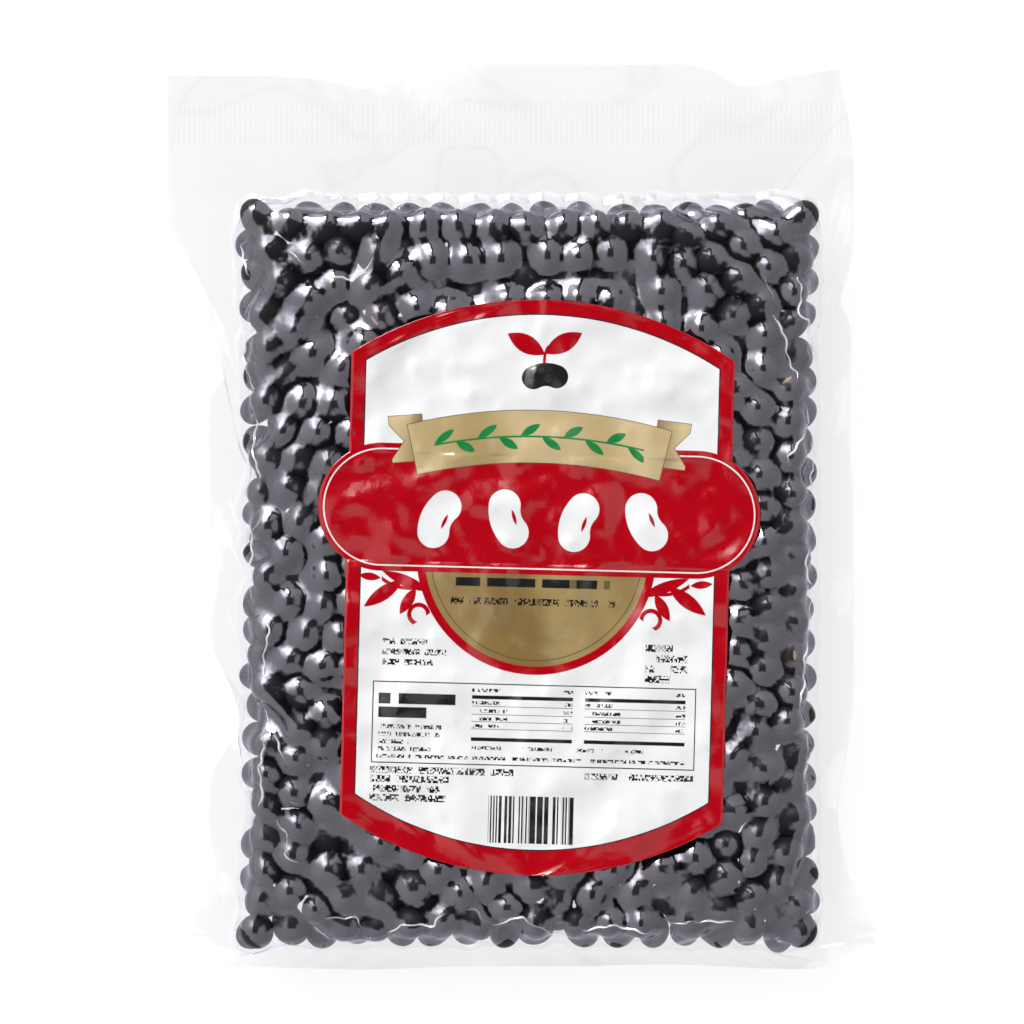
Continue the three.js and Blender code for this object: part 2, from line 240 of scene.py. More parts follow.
def rootLoop(columns, rows):  # where the two sheets meet: just outside the outermost beans
    x, y = boundaryShares(columns, rows)
    ray = np.stack([x * pack["wide"] / 2, y * pack["tall"] / 2], 1)
    ray /= np.linalg.norm(ray, axis=1)[:, None]
    at = beanPlace[:, :2] - [pack["centreX"], pack["centreY"]]
    along = ray @ at.T
    off = ray[:, :1] * at[:, 1] - ray[:, 1:] * at[:, 0]
    inside = film["rootReach"] ** 2 - off ** 2
    far = np.where(inside > 0, along + np.sqrt(np.maximum(inside, 0)), 0).max(1)
    window = max(1, round(len(far) / 260))  # about 2.5 mm
    smooth = far.copy()
    for shift in range(-window, window + 1):
        smooth += np.roll(far, shift)
    smooth /= 2 * window + 2
    return ray * smooth[:, None] + [pack["centreX"], pack["centreY"]]


def outerLoop(columns, rows):
    x, y = boundaryShares(columns, rows)
    low = film["cornersLow"]
    left, right = filmLeft(film["cornerLeft"]), filmRight(film["cornerRight"])
    lowX = np.interp(x, [-1, 1], [filmLeft(low), filmRight(low)])
    highX = np.interp(x, [-1, 1], [left, right])
    edgeY = low + (y + 1) / 2 * (filmTop(np.where(x < 0, left, right)) - low)
    loop = np.empty((len(x), 2))
    ends = np.abs(y) == 1
    endX = np.where(y < 0, lowX, highX)
    loop[:, 0] = np.where(ends, endX, np.where(x > 0, filmRight(edgeY), filmLeft(edgeY)))
    loop[:, 1] = np.where(ends, np.where(y < 0, filmBottom(endX), filmTop(endX)), edgeY)
    return loop


def gridBoundary(columns, rows):  # grid places of the boundary loop's points
    i = np.concatenate([
        np.zeros(columns, int), np.arange(rows), np.full(columns, rows), np.arange(rows, 0, -1)
    ])
    j = np.concatenate([
        np.arange(columns), np.full(rows, columns), np.arange(columns, 0, -1), np.zeros(rows, int)
    ])
    return i, j


def sheetPath(span):  # natural width of the sheet over the block: its face and both sides
    return span - 2 * pack["sideBulge"] + 2 * math.hypot(pack["sideBulge"], middle)


def startSheet(columns, rows):
    wallPath = math.hypot(pack["sideBulge"], middle)

    def spread(count, span):
        path = np.linspace(-1, 1, count + 1) * sheetPath(span) / 2
        face = span / 2 - pack["sideBulge"]
        wall = np.clip((np.abs(path) - face) / wallPath, 0, 1)
        flat = np.minimum(np.abs(path), face) + pack["sideBulge"] * (1 - (1 - wall) ** 2)
        return np.sign(path) * (flat + film["start"] * np.abs(path) / face), wall

    x, wallX = spread(columns, pack["wide"])
    y, wallY = spread(rows, pack["tall"])
    points = np.empty((rows + 1, columns + 1, 3))
    points[..., 0] = x[None, :] + pack["centreX"]
    points[..., 1] = y[:, None] + pack["centreY"]
    points[..., 2] = (middle + 0.8) * (1 - np.maximum(wallX[None, :], wallY[:, None])) + film["gap"]
    root = rootLoop(columns, rows)
    i, j = gridBoundary(columns, rows)
    shift = np.zeros((rows + 1, columns + 1, 2))
    shift[i, j] = root - points[i, j, :2]
    nearSide = (wallX ** 2)[None, :, None]
    nearEnd = (wallY ** 2)[:, None, None]
    left, right = shift[:, :1], shift[:, -1:]
    side = np.where((x < 0)[None, :, None], left, right)
    end = np.where((y < 0)[:, None, None], shift[:1], shift[-1:])
    corner = np.where((y < 0)[:, None, None], side[:1], side[-1:])
    points[..., :2] += nearSide * side + nearEnd * end - nearSide * nearEnd * corner
    return points.astype(np.float32)


def nearPairs(points, centres, reach):  # sheet points and beans closer together than reach
    low = points[:, :2].min(0) - reach
    cells = np.floor((points[:, :2] - low) / reach).astype(int)
    across = cells[:, 0].max() + 3
    cell = cells[:, 1] * across + cells[:, 0]
    order = np.argsort(cell, kind="stable")
    starts = np.searchsorted(cell[order], np.arange((cells[:, 1].max() + 3) * across + 1))
    beanCell = np.floor((centres[:, :2] - low) / reach).astype(int)
    beanCell = np.clip(beanCell, 1, [across - 2, cells[:, 1].max() + 1])
    pointIds, beanIds = [], []
    for row in (-1, 0, 1):
        first = (beanCell[:, 1] + row) * across + beanCell[:, 0]
        begin, stop = starts[first - 1], starts[first + 2]
        count = stop - begin
        bean = np.repeat(np.arange(len(centres)), count)
        within = np.arange(count.sum()) - np.repeat(np.cumsum(count) - count, count)
        point = order[np.repeat(begin, count) + within]
        close = ((points[point] - centres[bean]) ** 2).sum(1) < reach ** 2
        pointIds.append(point[close])
        beanIds.append(bean[close])
    return np.concatenate(pointIds), np.concatenate(beanIds)


def uneven(rows, columns, size, seed):  # a smooth random pattern over the sheet, about -2 to 2
    random = np.random.default_rng(seed)
    x = np.linspace(0, sheetPath(pack["wide"]), columns + 1)[None, :]
    y = np.linspace(0, sheetPath(pack["tall"]), rows + 1)[:, None]
    pattern = np.zeros((rows + 1, columns + 1), np.float32)
    waves = 14
    for _ in range(waves):
        way, phase = random.uniform(0, 2 * math.pi, 2)
        count = 2 * math.pi / (size * random.uniform(0.6, 1.8))
        pattern += np.sin(count * (x * math.cos(way) + y * math.sin(way)) + phase)
    return pattern * math.sqrt(2 / waves)


def relaxSheet(points, centres, shapes, steps, seed):  # tension, bending and the vacuum settle
    rows, columns = points.shape[0] - 1, points.shape[1] - 1
    restWide = film["slackWide"] * sheetPath(pack["wide"]) / columns
    restTall = film["slackTall"] * sheetPath(pack["tall"]) / rows
    diagonal = math.hypot(restWide, restTall)
    families = [(0, 1, restWide, 1), (1, 0, restTall, 1), (1, 1, diagonal, 0.5), (1, -1, diagonal, 0.5)]
    loose = 1 + film["slackVaries"] * uneven(rows, columns, film["patch"] / 2, seed)
    vacuum = np.exp(film["pressureVaries"] * uneven(rows, columns, film["patch"], seed + 1))
    vacuum = film["pressure"] * vacuum[1:-1, 1:-1, None]
    force = np.zeros_like(points)
    before = points.copy()
    flatPoints = points.reshape(-1, 3)
    scale = restWide / film["finePitch"]  # a coarse sheet gets the same form
    for n in range(steps):
        force[:] = 0
        for down, over, rest, share in families:
            a = (slice(0, rows + 1 - down), slice(max(0, -over), columns + 1 - max(0, over)))
            b = (slice(down, rows + 1), slice(max(0, over), columns + 1 + min(0, over)))
            edge = points[b] - points[a]
            long = np.sqrt(np.einsum("ijk,ijk->ij", edge, edge))
            pull = film["stretch"] * share * (1 - rest * loose[a] / long)
            pull = np.where(pull < 0, film["squeeze"] * pull, pull)
            edge *= pull[..., None]
            force[a] += edge
            force[b] -= edge
        for axis in (0, 1):
            flat = np.moveaxis(points, axis, 0)
            turned = np.moveaxis(force, axis, 0)
            kink = film["bend"] * (flat[2:] - 2 * flat[1:-1] + flat[:-2])
            turned[2:] -= kink
            turned[1:-1] += 2 * kink
            turned[:-2] -= kink
        wide = points[1:-1, 2:] - points[1:-1, :-2]
        tall = points[2:, 1:-1] - points[:-2, 1:-1]
        force[1:-1, 1:-1] -= vacuum * (scale / (4 * restWide * restTall)) * np.cross(wide, tall)
        step = film["keep"] * (points - before) + force
        np.clip(step, -film["stepLimit"], film["stepLimit"], out=step)
        before = points.copy()
        points[1:-1, 1:-1] += step[1:-1, 1:-1]
        if n % film["lookEvery"] == 0:
            pairPoint, pairBean = nearPairs(flatPoints, centres, film["lookReach"])
            pairShape = shapes[pairBean]
            pairCentre = centres[pairBean]
        away = flatPoints[pairPoint] - pairCentre
        local = np.einsum("nij,nj->ni", pairShape, away)
        deep = np.einsum("ni,ni->n", local, local)
        hit = np.nonzero(deep < 1)[0]
        push = away[hit] * (1 / np.sqrt(np.maximum(deep[hit], 0.05)) - 1)[:, None]
        moved = np.zeros_like(flatPoints)
        np.add.at(moved, pairPoint[hit], push)
        inner = moved.reshape(points.shape)[1:-1, 1:-1]
        points[1:-1, 1:-1] += inner
        np.maximum(points[..., 2], film["gap"], out=points[..., 2])
    return points


def besideSum(grid):  # of the four neighbours of each inner point
    return grid[:-2, 1:-1] + grid[2:, 1:-1] + grid[1:-1, :-2] + grid[1:-1, 2:]


def calmSheet(points):  # takes out zigzags from one point to the next and leaves real folds
    limit = film["calmWall"] + (film["calm"] - film["calmWall"]) * smoothStep(points[1:-1, 1:-1, 2], 5, 9)
    for _ in range(film["calmPasses"]):
        inner = points[1:-1, 1:-1]
        off = besideSum(points) / 4 - inner
        rough = np.zeros(points.shape[:2], np.float32)
        rough[1:-1, 1:-1] = np.linalg.norm(off, axis=2)
        beside = np.maximum(rough[1:-1, :-2], rough[1:-1, 2:])
        beyond = np.maximum(rough[:-2, 1:-1], rough[2:, 1:-1])
        both = (rough[1:-1, 1:-1] + np.maximum(beside, beyond)) / 2
        share = np.clip(both / limit - 1, 0, 0.8)
        inner += share[..., None] * off
    return points


def finerSheet(points, columns, rows):
    finer = np.empty((rows + 1, columns + 1, 3), np.float32)
    finer[::2, ::2] = points
    finer[1::2, ::2] = (points[1:] + points[:-1]) / 2
    finer[:, 1::2] = (finer[:, 2::2] + finer[:, :-2:2]) / 2
    i, j = gridBoundary(columns, rows)
    finer[i, j, :2] = rootLoop(columns, rows)
    return finer


def drapeSheet(side):  # 1 is the front sheet, -1 the back one, made as its mirror image
    centres = beanPlace.copy()
    centres[:, 2] = side * (centres[:, 2] - middle)
    turn = beanTurn.copy()
    turn[:, 2, :] *= side
    near = centres[:, 2] > -3  # those that the sheet may touch
    shapes = np.swapaxes(turn, 1, 2) / (beanHalf + film["clear"])[:, :, None]
    centres = centres[near].astype(np.float32)
    shapes = shapes[near].astype(np.float32)
    levels = film["levels"]
    coarse = 2 ** (levels - 1)
    points = startSheet(film["columns"] // coarse, film["rows"] // coarse)
    for level in range(levels):
        if level:
            finer = 2 ** (levels - 1 - level)
            points = finerSheet(points, film["columns"] // finer, film["rows"] // finer)
        points = relaxSheet(points, centres, shapes, film["steps"][level], film["seed"] + side)
    return calmSheet(points)


folds = {
    "step": 0.3,            # along a fold
    "half": 0.42,           # half the width of the strip
    "across": 8,
    "tall": 0.42,
    "sharp": 0.16,
    "off": 0.02,            # of the strip's edges from the film
    "ridge": 0.75,          # how far the film itself stands up under it
    "ridgeHalf": 1.0,
    "wobble": 0.4,          # of its line, slow and quick
    "jitter": 0.22,
    "fadeEnds": 5,
    "seed": 5,
    "paths": [              # where the spare film stands up in a thin fold round the block's front
        [(-64, 66), (-67, 63), (-64, 55), (-64, 51), (-66, 46), (-66, 40), (-65, 32), (-63, 28), (-63, 13),
         (-60.5, 3), (-64, -7), (-64, -21), (-60, -25), (-60.5, -31), (-60.5, -42), (-60, -48), (-57, -54),
         (-56, -59)],
        [(-61, -45), (-61.5, -62), (-61.5, -69), (-58, -72), (-55, -76), (-55.5, -79), (-52, -82)],
        [(55.5, 60), (56, 55), (58, 50), (59, 45), (61.5, 38), (63, 34), (64, 29), (66.5, 25), (66, 21.5),
         (64.5, 16.5), (61, 13.5), (62, 8), (60.5, 0.5), (61, -3)],
        [(64, 58), (64.5, 47), (67, 45), (66.5, 39), (68.5, 32.5), (67, 27.5)],
        [(68, 20), (67.5, -1), (66, -10), (67.5, -20), (66, -32), (64.5, -43), (66.5, -53), (64.5, -64)],
        [(-48, -93.5), (-39.5, -94.5), (-36, -98), (-27.5, -96), (-22, -95.5), (-18, -92.5), (-11.5, -92.5),
         (-7, -95.5), (-1, -94), (4, -96), (7, -98), (17.5, -96), (29.5, -97), (41, -94.5), (50.5, -96)],
        [(-57, 62), (-50, 58), (-44, 55), (-39, 56), (-34, 61)],
    ],
}


def smoothPath(points, step):  # a curve through the points, in even steps
    points = np.array(points, float)
    ends = np.vstack([2 * points[0] - points[1], points, 2 * points[-1] - points[-2]])
    share = np.linspace(0, 1, 24, endpoint=False)[:, None]
    parts = []
    for a, b, c, d in zip(ends, ends[1:], ends[2:], ends[3:]):
        parts.append(b + share * (c - a) / 2 + share ** 2 * (a - 2.5 * b + 2 * c - d / 2)
                     + share ** 3 * (1.5 * (b - c) + (d - a) / 2))
    curve = np.vstack(parts + [points[-1:]])
    along = np.concatenate([[0], np.cumsum(np.linalg.norm(np.diff(curve, axis=0), axis=1))])
    even = np.arange(0, along[-1], step)
    return np.stack([np.interp(even, along, curve[:, 0]), np.interp(even, along, curve[:, 1])], 1)


def foldLines():  # each fold's curve, and how strong the fold is along it
    random = np.random.default_rng(folds["seed"])
    wobble, jitter = folds["wobble"], folds["jitter"]
    lines = []
    for path in folds["paths"]:
        curve = smoothPath(path, folds["step"])
        along = np.arange(len(curve)) * folds["step"]
        phases = random.uniform(0, 2 * math.pi, 6)
        curve[:, 0] += wobble * np.sin(along / 1.7 + phases[0]) + jitter * np.sin(along / 0.62 + phases[1])
        curve[:, 1] += wobble * np.sin(along / 2.1 + phases[2]) + jitter * np.sin(along / 0.71 + phases[3])
        waves = np.sin(along / 3.9 + phases[4]) + 0.7 * np.sin(along / 1.6 + phases[5])
        strength = np.clip(0.55 + 0.5 * waves, 0.04, 1)
        strength *= smoothStep(np.minimum(along, along[-1] - along), 0, folds["fadeEnds"])
        lines.append((curve, strength))
    return lines


def raiseFolds(sheet, lines):  # the film stands up on both sides of a fold
    curve = np.concatenate([line for line, _ in lines])
    strength = np.concatenate([strong for _, strong in lines])
    nearest = KDTree(len(curve))
    for k, (x, y) in enumerate(curve):
        nearest.insert((x, y, 0), k)
    nearest.balance()
    raised = sheet.copy()
    for row, column in np.ndindex(sheet.shape[:2]):
        x, y, high = sheet[row, column]
        if high > pack["thick"] / 2:
            _, k, off = nearest.find((x, y, 0))
            if off < 3 * folds["ridgeHalf"]:
                share = math.exp(-((off / folds["ridgeHalf"]) ** 2)) * (0.4 + 0.6 * strength[k])
                raised[row, column, 2] += folds["ridge"] * share
    return raised


print("film: drawing both sheets onto the beans")
with ThreadPoolExecutor(2) as pool:
    frontSheet, backSheet = pool.map(drapeSheet, (1, -1))
creases = foldLines()
frontSheet = raiseFolds(frontSheet, creases)

# Meshes in metres


def addObject(name, data):
    piece = bpy.data.objects.new(name, data)
    bpy.context.scene.collection.objects.link(piece)
    return piece


def addMesh(name, points, faces):
    mesh = bpy.data.meshes.new(name)
    mesh.from_pydata((np.asarray(points, float) * millimetre).tolist(), [], faces)
    mesh.validate()
    mesh.shade_smooth()
    return addObject(name, mesh)


def gridFaces(rows, columns):
    corner = np.arange(rows)[:, None] * (columns + 1) + np.arange(columns)
    quads = np.stack([corner, corner + 1, corner + columns + 2, corner + columns + 1], -1)
    return quads.reshape(-1, 4)


def addAttribute(piece, name, values):
    attribute = piece.data.attributes.new(name, "FLOAT", "POINT")
    attribute.data.foreach_set("value", np.asarray(values, np.float32).ravel())


def paintedCreaseGlint(sheet):  # 1 where the film is folded sharply upwards: a painted glint of pale diffuse white along the crease
    normal = np.cross(sheet[1:-1, 2:] - sheet[1:-1, :-2], sheet[2:, 1:-1] - sheet[:-2, 1:-1])
    normal /= np.maximum(np.linalg.norm(normal, axis=2, keepdims=True), 1e-9)
    sharp = ((sheet[1:-1, 1:-1] - besideSum(sheet) / 4) * normal).sum(2)
    paintedGlint = np.zeros(sheet.shape[:2])
    paintedGlint[1:-1, 1:-1] = np.clip((sharp - film["creaseFrom"]) / film["creaseFrom"], 0, 1)
    return paintedGlint


def filmPiece(name, sheet, side):
    columns, rows = film["columns"], film["rows"]
    i, j = gridBoundary(columns, rows)
    root = sheet[i, j]
    outer = outerLoop(columns, rows)
    around = len(root)
    points = [sheet.reshape(-1, 3)]
    inFace = len(points[0])
    inner = i * (columns + 1) + j
    faces = [gridFaces(rows, columns)]
    for ring in range(1, film["rings"] + 1):
        share = ring / film["rings"]
        place = root.copy()
        place[:, :2] += (outer - root[:, :2]) * share
        place[:, 2] = side * marginHeight(place[:, 0], place[:, 1], share)
        place[:, 2] += film["gap"] * (ring < film["rings"])
        points.append(place)
        nextRing = inFace + (ring - 1) * around + np.arange(around)
        faces.append(np.stack([inner, nextRing, np.roll(nextRing, -1), np.roll(inner, -1)], -1))
        inner = nextRing
    points = np.concatenate(points)
    faces = np.concatenate(faces)
    points[:, 2] = np.maximum(middle + side * points[:, 2], 0)
    if side < 0:
        faces = faces[:, ::-1]
    piece = addMesh(name, points, faces.tolist())
    paintedGlint = np.zeros(len(points))
    # painted glint along the face's creases
    paintedGlint[:inFace] = paintedCreaseGlint(sheet).ravel()
    addAttribute(piece, "paintedGlint", paintedGlint)
    sealed = film["sideSeal"] + (1 - film["sideSeal"]) * smoothStep(points[:, 1], *film["looseEnd"])
    sealed[:inFace] = 0
    addAttribute(piece, "sealed", sealed)
    return piece


filmFront = filmPiece("film_front", frontSheet, 1)
filmBack = filmPiece("film_back", backSheet, -1)
facePoints = frontSheet.reshape(-1, 3) + [0, 0, middle]
faceTree = BVHTree.FromPolygons(facePoints.tolist(), gridFaces(film["rows"], film["columns"]).tolist())


def onFilm(x, y, above=40):  # place and normal of the front film there
    place, normal, _, _ = faceTree.ray_cast(Vector((x, y, above)), Vector((0, 0, -1)))
    return place, normal


label = {
    "centreX": 2.9,
    "centreY": -16.9,
    "turn": math.radians(-1.5),
    "halfWide": 44.6,
    "halfTall": 67.0,       # at the crest of its arched top and bottom
    "shoulder": 53.8,       # where the straight sides meet the arches
    "bandHalfWide": 51.5,   # the rounded band across it
    "bandHalfTall": 14.9,
    "bandMiddle": 17.9,
    "thick": 0.16,
    "clear": 0.06,          # over the film
    "crest": 1.5,           # half width of the flat crest of its arches
    "drop": 0.004,          # how far it sinks between two smoothings
    "columns": 132,
    "archRows": 20,
    "lowerRows": 76,
    "bandRows": 46,
    "upperRows": 32,
    "ease": 240,            # how far the sheet is drawn flat between the beans
}
archRise = label["halfTall"] - label["shoulder"]
archRadius = (label["halfWide"] ** 2 + archRise ** 2) / (2 * archRise)
bandStraight = label["bandHalfWide"] - label["bandHalfTall"]


def labelHalfSpan(high):
    fromCrest = label["halfTall"] - np.abs(high)
    arch = np.sqrt(np.maximum(0, archRadius ** 2 - (archRadius - fromCrest) ** 2))
    offBand = np.abs(high - label["bandMiddle"])
    rounding = np.sqrt(np.maximum(0, label["bandHalfTall"] ** 2 - offBand ** 2))
    band = np.where(offBand < label["bandHalfTall"], bandStraight + rounding, 0)
    return np.maximum(np.minimum(label["halfWide"], arch), band)


def labelHeights():  # of its rows, closer together where the outline is round
    bandY, shoulder = label["bandMiddle"], label["shoulder"]
    reach = math.sqrt(label["bandHalfTall"] ** 2 - (label["halfWide"] - bandStraight) ** 2)
    arch = archRise * np.linspace(0, 1, label["archRows"], endpoint=False) ** 2
    lower = np.linspace(-shoulder, bandY - reach, label["lowerRows"], endpoint=False)
    band = bandY - reach * np.cos(np.linspace(0, math.pi, label["bandRows"], endpoint=False))
    upper = np.linspace(bandY + reach, shoulder, label["upperRows"], endpoint=False)
    end = label["halfTall"] - archRise * np.linspace(1, 0, label["archRows"] + 1) ** 2
    return np.concatenate([arch - label["halfTall"], lower, band, upper, end])


def blurRows(values, passes):
    for _ in range(passes):
        values = (besideSum(np.pad(values, 1, mode="edge")) + 2 * values) / 6
    return values


def labelPiece():
    heights = labelHeights()
    half = np.maximum(labelHalfSpan(heights), label["crest"])
    across = half[:, None] * np.linspace(-1, 1, label["columns"] + 1)
    up = np.repeat(heights[:, None], label["columns"] + 1, 1)
    cos, sin = math.cos(label["turn"]), math.sin(label["turn"])
    x = label["centreX"] + across * cos - up * sin
    y = label["centreY"] + across * sin + up * cos
    top = np.empty_like(x)
    for place in np.ndindex(x.shape):
        top[place] = onFilm(x[place], y[place])[0].z + label["clear"]
    sheet = top.max() * np.ones_like(top)
    for _ in range(label["ease"]):  # a drawn sheet that rests on the tops of the beans
        sheet = np.maximum(blurRows(sheet, 2) - label["drop"], top)
    sheet = blurRows(sheet, 6)
    sheet += blurRows(np.maximum(top - sheet, 0) * 1.5, 3)
    sheet = np.maximum(sheet, top)
    rows, columns = x.shape[0] - 1, x.shape[1] - 1
    upper = np.stack([x, y, sheet + label["thick"]], -1).reshape(-1, 3)
    under = np.stack([x, y, sheet], -1).reshape(-1, 3)
    count = len(upper)
    i, j = gridBoundary(columns, rows)
    edge = i * (columns + 1) + j
    rim = np.stack([edge, edge + count, np.roll(edge, -1) + count, np.roll(edge, -1)], -1)
    face = gridFaces(rows, columns)
    faces = np.concatenate([face, face[:, ::-1] + count, rim])
    return addMesh("label_sheet", np.concatenate([upper, under]), faces.tolist())


print("label: laying it on the film")
labelSheet = labelPiece()


def foldPiece():  # the fold itself: a thin strip that stands on the film, with a painted glint of diffuse white along its crest
    offsets = np.linspace(-1, 1, folds["across"] + 1)
    offsets = np.sign(offsets) * np.abs(offsets) ** 1.5 * folds["half"]
    points, faces, paintedGlint = [], [], []
    for curve, strength in creases:
        way = np.gradient(curve, axis=0)
        way /= np.linalg.norm(way, axis=1)[:, None]
        first = len(points)
        for (x, y), (wayX, wayY), strong in zip(curve, way, strength):
            for offset in offsets:
                place, normal = onFilm(x + wayY * offset, y - wayX * offset)
                rise = folds["tall"] * strong * math.exp(-((offset / folds["sharp"]) ** 2))
                points.append(place + normal * (folds["off"] + rise))
                # painted glint: pale white, strongest along the strip's crest
                paintedGlint.append(strong ** 1.5 * math.exp(-((offset / (0.08 + 0.12 * strong)) ** 2)))
        faces.append(gridFaces(len(curve) - 1, folds["across"]) + first)
    piece = addMesh("film_folds_with_painted_glint", np.array(points), np.concatenate(faces).tolist())
    addAttribute(piece, "paintedGlint", paintedGlint)
    return piece


print("film: folds round the front")
filmFolds = foldPiece()


class Wire:  # a socket of a node tree, with arithmetic
    def __init__(self, tree, socket=None):
        self.tree = tree
        self.socket = socket

    def add(self, kind, settings=None, values=None, output=0):
        node = self.tree.nodes.new(kind)
        for name, value in (settings or {}).items():
            setattr(node, name, value)
        for name, value in (values or {}).items():
            if isinstance(value, Wire):
                self.tree.links.new(value.socket, node.inputs[name])
            else:
                node.inputs[name].default_value = value
        return Wire(self.tree, node.outputs[output] if node.outputs else None)

    def maths(self, operation, *others):
        return self.add("ShaderNodeMath", {"operation": operation}, dict(enumerate((self, *others))))

    def __add__(self, other):
        return self.maths("ADD", other)

    def __mul__(self, other):
        return self.maths("MULTIPLY", other)

    __radd__ = __add__
    __rmul__ = __mul__

    def __sub__(self, other):
        return self.maths("SUBTRACT", other)

    def __rsub__(self, other):
        return self.add("ShaderNodeMath", {"operation": "SUBTRACT"}, {0: other, 1: self})

    def __truediv__(self, other):
        return self.maths("DIVIDE", other)

    def __pow__(self, other):
        return self.maths("POWER", other)

    def __abs__(self):
        return self.maths("ABSOLUTE")

    def largest(self, other):
        return self.maths("MAXIMUM", other)

    def least(self, other):
        return self.maths("MINIMUM", other)

    def root(self):
        return self.maths("SQRT")

    def floor(self):
        return self.maths("FLOOR")

    def noise(self, scale, detail=0.0, distortion=0.0):
        return self.add("ShaderNodeTexNoise", None, {
            "Vector": self, "Scale": scale, "Detail": detail, "Distortion": distortion,
        })

    def chance(self):  # a random number from 0 to 1 for each whole step
        return self.add("ShaderNodeTexWhiteNoise", {"noise_dimensions": "1D"}, {"W": self.floor() + 0.5})

    def parts(self):
        split = self.add("ShaderNodeSeparateXYZ", None, {0: self})
        return [Wire(self.tree, output) for output in split.socket.node.outputs]


def newMaterial(name):
    material = bpy.data.materials.new(name)
    material.use_nodes = True
    material.node_tree.nodes.clear()
    return material, Wire(material.node_tree)


def mixColour(mask, under, over):
    return mask.add(
        "ShaderNodeMix", {"data_type": "RGBA"}, {0: mask, 6: under, 7: over}, output=2
    )


def fill(distance, edge=0.12):  # a mix factor: 1 or more inside a shape and 0 or less outside it
    return 0.5 - distance * (1 / edge)


filmLook = {
    "shine": 0.13,
    "sealedLess": 0.105,    # so much less on the loose end
    "rimShine": 0.8,        # where it is seen from the side
    "tint": (0.9, 0.86, 1, 1),
    "roughness": 0.08,
    "crumple": (0.6, 380.0),    # height and scale of the fine bumps
    "wave": (2.2, 90.0),
    "foldPaintedGlint": (0.9, 0.9),     # how white the painted glint on a fold is and how much of it shows
    # grey of the pale diffuse film and how much of it shows on creases: painted glint there, milky haze on
    # the seal
    "faceGlintAndSealMilk": (0.42, 0.25),
    "sealY": 0.093,         # the ribbed band across the loose end, in metres
    "sealHalf": 0.0053,
    "ribs": 5200,
}


def looseEndMilk(place, sealed):  # patches, lines and ribs on the sealed margin
    x, y, _ = place.parts()
    band = fill(abs(y - filmLook["sealY"]) - filmLook["sealHalf"], 0.0012).least(1).largest(0)
    ribbed = ((x * filmLook["ribs"]).maths("SINE") * 0.5 + 0.5) * band
    folded = place.noise(26.0, 1.0, 1.0)
    lines = 1 - (abs(folded - 0.5) * 30).least(1)
    return (sealed * 5 - 4).largest(0) * (0.01 + (folded * 0.12 + lines * 0.035 + ribbed * 0.02))


def filmMaterial(name, isFold):
    material, start = newMaterial(name)
    place = start.add("ShaderNodeTexCoord", output=3)
    paintedGlint = start.add("ShaderNodeAttribute", {"attribute_name": "paintedGlint"}, output=2)
    facing = start.add("ShaderNodeLayerWeight", None, {"Blend": 0.5}, output=1)
    shadow = start.add("ShaderNodeLightPath", output=1)
    sealed = start.add("ShaderNodeAttribute", {"attribute_name": "sealed"}, output=2)
    shine = filmLook["shine"] - filmLook["sealedLess"] * sealed + filmLook["rimShine"] * facing ** 5
    shine = shine * (1 - shadow)
    if isFold:
        shine = shine * (paintedGlint * 2).least(1)
    (crumple, crumpleScale), (wave, waveScale) = filmLook["crumple"], filmLook["wave"]
    relief = place.noise(crumpleScale, 1.0) * crumple + place.noise(waveScale) * wave
    bumped = start.add("ShaderNodeBump", None, {
        "Strength": 0.5, "Distance": 0.0006, "Height": relief * (1 - sealed * 0.6),
    })
    clear = start.add("ShaderNodeBsdfTransparent", None, {"Color": (0.995, 0.995, 0.996, 1)})
    gloss = start.add("ShaderNodeBsdfGlossy", None, {
        "Color": filmLook["tint"], "Roughness": filmLook["roughness"], "Normal": bumped,
    })
    # Pale diffuse white: a painted glint along creases and folds, and on the loose end the seal's milky
    # haze
    grey, share = filmLook["foldPaintedGlint"] if isFold else filmLook["faceGlintAndSealMilk"]
    whiteGlintAndMilk = start.add("ShaderNodeBsdfDiffuse", None, {"Color": (grey, grey, grey, 1)})
    glintAndMilkShare = paintedGlint * share if isFold else paintedGlint * share + looseEndMilk(place, sealed)
    body = start.add("ShaderNodeMixShader", None, {0: glintAndMilkShare, 1: clear, 2: whiteGlintAndMilk})
    both = start.add("ShaderNodeMixShader", None, {0: shine, 1: body, 2: gloss})
    start.add("ShaderNodeOutputMaterial", None, {"Surface": both})
    return material


beanLook = {
    "dark": (0.006, 0.006, 0.008, 1),
    "light": (0.016, 0.013, 0.014, 1),
    "mottled": (0.022, 0.02, 0.024, 1),
    "eye": (0.35, 0.25, 0.14, 1),
    "eyeFrom": 0.72,        # beans of a lighter shade than this show a pale eye
    "roughness": 0.38,
}


def beanMaterial():
    material, start = newMaterial("black bean skin")
    skin = start.add("ShaderNodeAttribute", {"attribute_name": "skin"}, output=1)
    shade = start.add("ShaderNodeAttribute", {"attribute_name": "shade"}, output=2)
    mottle = skin.noise(2.5, 4.0)
    colour = mixColour(shade, beanLook["dark"], beanLook["light"])
    colour = mixColour(mottle * 0.5, colour, beanLook["mottled"])
    x, y, z = skin.parts()
    off = x ** 2 * 8 + z ** 2 * 60 + (y + 1) * 2
    eye = start.add("ShaderNodeMapRange", None, {"Value": off, "From Min": 0.9, "From Max": 0.5})
    colour = mixColour(eye * (shade - beanLook["eyeFrom"]) * 6, colour, beanLook["eye"])
    bumped = start.add("ShaderNodeBump", None, {
        "Strength": 0.2, "Distance": 0.0002, "Height": skin.noise(9.0, 3.0),
    })
    skinShader = start.add("ShaderNodeBsdfPrincipled", None, {
        "Base Color": colour, "Roughness": beanLook["roughness"] + mottle * 0.15, "Normal": bumped,
        "Specular IOR Level": 0.12,
    })
    start.add("ShaderNodeOutputMaterial", None, {"Surface": skinShader})
    return material


